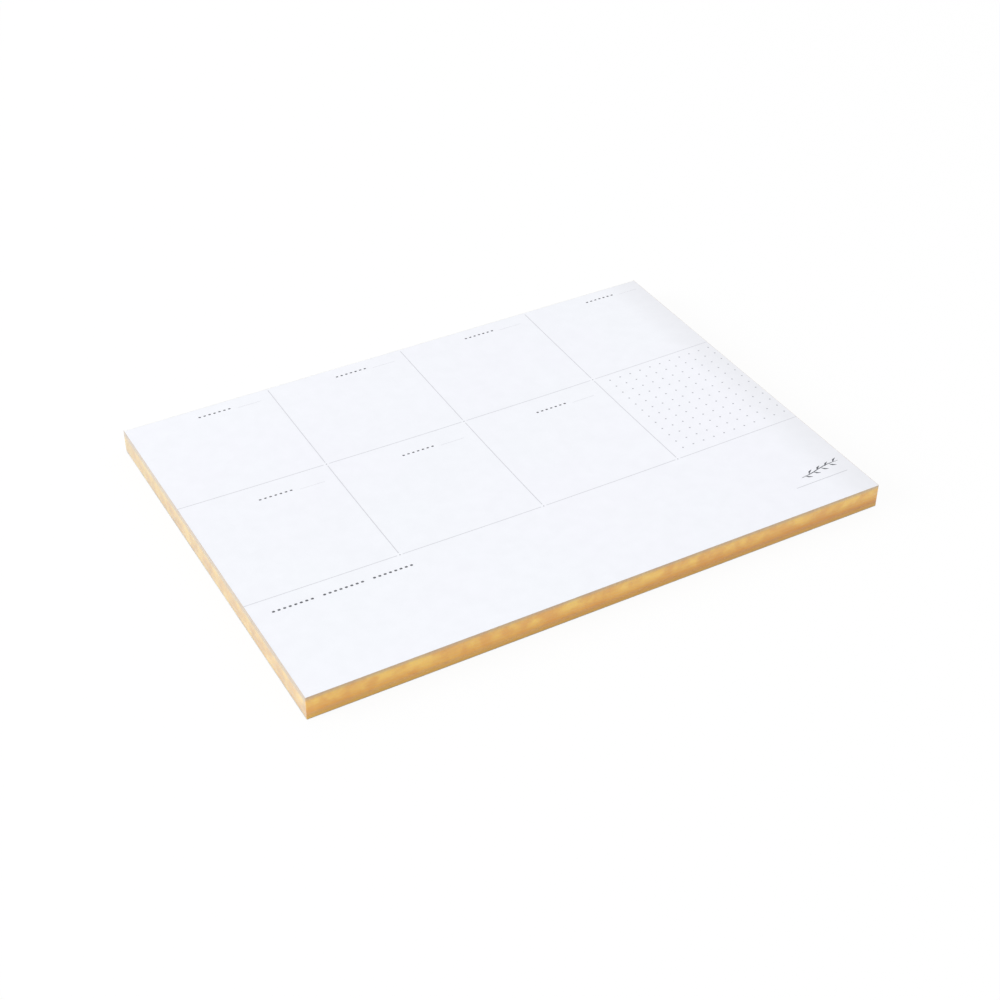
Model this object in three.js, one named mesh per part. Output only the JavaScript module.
// A weekly planner pad in landscape: a block of printed sheets on a chipboard back, held together
// along the back edge by a film of padding glue, with the three trimmed edges gilded.
//
// Millimetres, +Z up. The origin is the middle of the underside. X runs to the right along the
// front edge, and Y runs from the front edge towards the glued edge at the back.

import * as THREE from 'three';

// Sheets and back
const SHEET_WIDTH = 254;
const SHEET_DEPTH = 183.25;
const SHEET_COUNT = 60;
const SHEET_THICKNESS = 0.156;
const BOARD_THICKNESS = 1.25;
// The gilded edges hold the stack a little high, and its middle settles by this much.
const DISH_DEPTH = 1.6;

// Edges: foil and size on the trimmed sides, and a brushed film of glue on the back one. The foil
// wears off along the bottom edge, so it stops just short of the underside.
const GILT_THICKNESS = 0.25;
const GILT_WORN_EDGE = 0.15;
const GLUE_THICKNESS = 0.5;
const GLUE_CORNER_RADIUS = 0.3;

// Printed grid: equal columns and day rows over a strip for notes. The sheets were trimmed after
// printing, so the last column and the back row lost a little to the guillotine.
const COLUMNS = 4;
const DAY_ROWS = 2;
const NOTES_STRIP_DEPTH = 55.25;
const GRID_INSET_LEFT = 0.6;
const GRID_TRIMMED_RIGHT = 3.9;
const GRID_TRIMMED_BACK = 6;
const RULE_WIDTH = 0.3;
// Each crossing is a dot of ink as wide as a rule, with bare paper round it.
const CROSSING_GAP = 1.2;

// Dot grid in the cell that no day uses: as many dots as the cell has room for
const DOT_PITCH = 5.2;
const DOT_DIAMETER = 0.7;
const DOT_CORNERS = 6;
const DOT_INSET_LEFT = 6.4;
const DOT_INSET_FRONT = 5.7;
const DOT_MARGIN = 1.2;

// The longest stretch of the dished face that one flat tile spans
const TILE_SIZE = 16;

// Places worked out from the sizes
const BLOCK_HEIGHT = SHEET_COUNT * SHEET_THICKNESS;
const PAD_HEIGHT = BOARD_THICKNESS + BLOCK_HEIGHT;
const PAD_DEPTH = GILT_THICKNESS + SHEET_DEPTH + GLUE_THICKNESS;
const LEFT = -SHEET_WIDTH / 2;
const RIGHT = SHEET_WIDTH / 2;
const FRONT = -PAD_DEPTH / 2 + GILT_THICKNESS;
const BACK = FRONT + SHEET_DEPTH;

const gridLeft = LEFT + GRID_INSET_LEFT;
const columnWidth = (RIGHT + GRID_TRIMMED_RIGHT - gridLeft) / COLUMNS;
const gridFront = FRONT + NOTES_STRIP_DEPTH;
const rowDepth = (BACK + GRID_TRIMMED_BACK - gridFront) / DAY_ROWS;
const columnRules = Array.from({ length: COLUMNS - 1 }, (_, i) => gridLeft + columnWidth * (i + 1));
const rowRules = Array.from({ length: DAY_ROWS }, (_, i) => gridFront + rowDepth * i);

const material = (color, roughness, metalness = 0) =>
  new THREE.MeshStandardMaterial({ color, roughness, metalness });
const uncoatedPaper = material(0xf5f7fc, 0.85);
const greyInk = material(0xa3a5ab, 0.8);
const goldFoil = material(0xe0a95a, 0.38, 1);
const greyChipboard = material(0xb3a692, 0.92);
const driedGlue = material(0xf1efe8, 0.45);

// Depth of the top face below its edges: nothing along the edges and most in the middle
function dish(x, y) {
  const across = (x - LEFT) / SHEET_WIDTH;
  const along = (y - FRONT) / SHEET_DEPTH;
  return DISH_DEPTH * Math.sin(Math.PI * across) * Math.sin(Math.PI * along);
}

const onFace = (x, y) => [x, y, PAD_HEIGHT - dish(x, y)];

// Every stop is kept as a cut, and a longer stretch between two stops is shared out evenly.
function cutsThrough(stops) {
  const cuts = [stops[0]];
  for (let i = 1; i < stops.length; i++) {
    const stretch = stops[i] - stops[i - 1];
    const parts = Math.ceil(stretch / TILE_SIZE);
    for (let k = 1; k <= parts; k++) cuts.push(stops[i - 1] + (stretch * k) / parts);
  }
  return cuts;
}

// A rule needs a cut on both of its edges, and on both sides of the bare paper at its crossings.
const ruleStops = (at) => [
  at - CROSSING_GAP, at - RULE_WIDTH / 2, at + RULE_WIDTH / 2, at + CROSSING_GAP,
];

// The dots of one row or column, from the first one as far as the margin before the cell's end
function dotPlaces(first, end) {
  const count = Math.max(0, Math.floor((end - DOT_MARGIN - first) / DOT_PITCH) + 1);
  return Array.from({ length: count }, (_, i) => first + DOT_PITCH * i);
}

// Each dot lies in the middle of a tile of its own, one pitch wide or less at the cell's end.
function dotStops(places, end) {
  if (places.length === 0) return [];
  const stops = places.map((at) => at - DOT_PITCH / 2);
  const past = places.at(-1) + DOT_PITCH / 2;
  return past < end ? [...stops, past] : stops;
}

const lastColumnRule = columnRules.at(-1);
const dotColumns = dotPlaces(lastColumnRule + DOT_INSET_LEFT, RIGHT);
const dotRows = dotPlaces(rowRules[0] + DOT_INSET_FRONT, rowRules[1] - CROSSING_GAP);

const xCuts = cutsThrough([
  LEFT, ...columnRules.flatMap(ruleStops), ...dotStops(dotColumns, RIGHT), RIGHT,
]);
const yCuts = cutsThrough([
  FRONT, ...ruleStops(rowRules[0]), ...dotStops(dotRows, rowRules[1] - CROSSING_GAP),
  ...rowRules.slice(1).flatMap(ruleStops), BACK,
]);

// Column rules run from the back edge to the front row rule, and row rules run right across.
function isInked(x, y) {
  const near = (places, at, reach) => places.some((place) => Math.abs(at - place) < reach);
  const onColumnRule = near(columnRules, x, RULE_WIDTH / 2) && y > rowRules[0] - RULE_WIDTH / 2;
  const onRowRule = near(rowRules, y, RULE_WIDTH / 2);
  if (onColumnRule && onRowRule) return true;
  if (onColumnRule) return !near(rowRules, y, CROSSING_GAP);
  return onRowRule && !near(columnRules, x, CROSSING_GAP);
}

function dotOutline(x, y) {
  const corner = (i) => (2 * Math.PI * i) / DOT_CORNERS;
  return Array.from({ length: DOT_CORNERS }, (_, i) => new THREE.Vector2(
    x + (DOT_DIAMETER / 2) * Math.cos(corner(i)),
    y + (DOT_DIAMETER / 2) * Math.sin(corner(i)),
  ));
}

// The block is one closed body. Its faces are collected by what covers them, bare paper or ink,
// and the print is a field of colour on the top face, with no thickness.
function sheetBlock() {
  const paper = [];
  const ink = [];
  const addFan = (list, points) => {
    for (let i = 2; i < points.length; i++) list.push(...points[0], ...points[i - 1], ...points[i]);
  };
  const within = (places, from, to) => places.filter((at) => at > from && at < to);

  for (let i = 1; i < xCuts.length; i++) {
    for (let j = 1; j < yCuts.length; j++) {
      const [x0, x1, y0, y1] = [xCuts[i - 1], xCuts[i], yCuts[j - 1], yCuts[j]];
      const corners = [[x0, y0], [x1, y0], [x1, y1], [x0, y1]];
      const [dotX] = within(dotColumns, x0, x1);
      const [dotY] = within(dotRows, y0, y1);
      if (dotX === undefined || dotY === undefined) {
        const inked = isInked((x0 + x1) / 2, (y0 + y1) / 2);
        addFan(inked ? ink : paper, corners.map(([x, y]) => onFace(x, y)));
        continue;
      }
      const dot = dotOutline(dotX, dotY);
      addFan(ink, dot.map((p) => onFace(p.x, p.y)));
      const edge = corners.map(([x, y]) => new THREE.Vector2(x, y));
      const hole = [...dot].reverse();
      const points = [...edge, ...hole].map((p) => onFace(p.x, p.y));
      for (const [a, b, c] of THREE.ShapeUtils.triangulateShape(edge, [hole])) {
        paper.push(...points[a], ...points[b], ...points[c]);
      }
    }
  }

  // Each side is a fan from a corner of the underside to the cuts along the top edge.
  const under = (x, y) => [x, y, BOARD_THICKNESS];
  const frontLeft = under(LEFT, FRONT);
  const frontRight = under(RIGHT, FRONT);
  const backRight = under(RIGHT, BACK);
  const backLeft = under(LEFT, BACK);
  const leftwards = [...xCuts].reverse();
  const forwards = [...yCuts].reverse();
  addFan(paper, [frontLeft, frontRight, ...leftwards.map((x) => onFace(x, FRONT))]);
  addFan(paper, [frontRight, backRight, ...forwards.map((y) => onFace(RIGHT, y))]);
  addFan(paper, [backRight, backLeft, ...xCuts.map((x) => onFace(x, BACK))]);
  addFan(paper, [backLeft, frontLeft, ...yCuts.map((y) => onFace(LEFT, y))]);
  addFan(paper, [frontLeft, backLeft, backRight, frontRight]);

  const geometry = new THREE.BufferGeometry();
  geometry.setAttribute('position', new THREE.Float32BufferAttribute([...paper, ...ink], 3));
  geometry.addGroup(0, paper.length / 3, 0);
  geometry.addGroup(paper.length / 3, ink.length / 3, 1);
  geometry.computeVertexNormals();
  return geometry;
}

function backingBoard() {
  const geometry = new THREE.BoxGeometry(SHEET_WIDTH, SHEET_DEPTH, BOARD_THICKNESS);
  return geometry.translate(0, (FRONT + BACK) / 2, BOARD_THICKNESS / 2);
}

// One coat of foil turns both front corners and covers sheets, board and the ends of the glue.
function giltEdge() {
  const outside = RIGHT + GILT_THICKNESS;
  const front = FRONT - GILT_THICKNESS;
  const end = BACK + GLUE_THICKNESS;
  const outline = new THREE.Shape([
    [-outside, end], [-outside, front], [outside, front], [outside, end],
    [RIGHT, end], [RIGHT, FRONT], [LEFT, FRONT], [LEFT, end],
  ].map(([x, y]) => new THREE.Vector2(x, y)));
  const geometry = new THREE.ExtrudeGeometry(outline, {
    depth: PAD_HEIGHT - GILT_WORN_EDGE, bevelEnabled: false,
  });
  return geometry.translate(0, 0, GILT_WORN_EDGE);
}

// The film is drawn as its section across the back edge, then drawn out along the edge.
function paddingGlue() {
  const radius = Math.min(GLUE_CORNER_RADIUS, GLUE_THICKNESS);
  const section = new THREE.Shape();
  section.moveTo(BACK, 0);
  section.lineTo(BACK + GLUE_THICKNESS - radius, 0);
  section.absarc(BACK + GLUE_THICKNESS - radius, radius, radius, -Math.PI / 2, 0);
  section.absarc(BACK + GLUE_THICKNESS - radius, PAD_HEIGHT - radius, radius, 0, Math.PI / 2);
  section.lineTo(BACK, PAD_HEIGHT);
  const geometry = new THREE.ExtrudeGeometry(section, {
    depth: SHEET_WIDTH, bevelEnabled: false, curveSegments: 4,
  });
  const sectionToEdge = new THREE.Matrix4().makeBasis(
    new THREE.Vector3(0, 1, 0), new THREE.Vector3(0, 0, 1), new THREE.Vector3(1, 0, 0),
  );
  return geometry.applyMatrix4(sectionToEdge).translate(LEFT, 0, 0);
}

const pad = new THREE.Group();
function add(name, geometry, finish) {
  const mesh = new THREE.Mesh(geometry, finish);
  mesh.name = name;
  pad.add(mesh);
}

add('sheet_block', sheetBlock(), [uncoatedPaper, greyInk]);
add('backing_board', backingBoard(), greyChipboard);
add('gilt_edge', giltEdge(), goldFoil);
add('padding_glue', paddingGlue(), driedGlue);

export default pad;
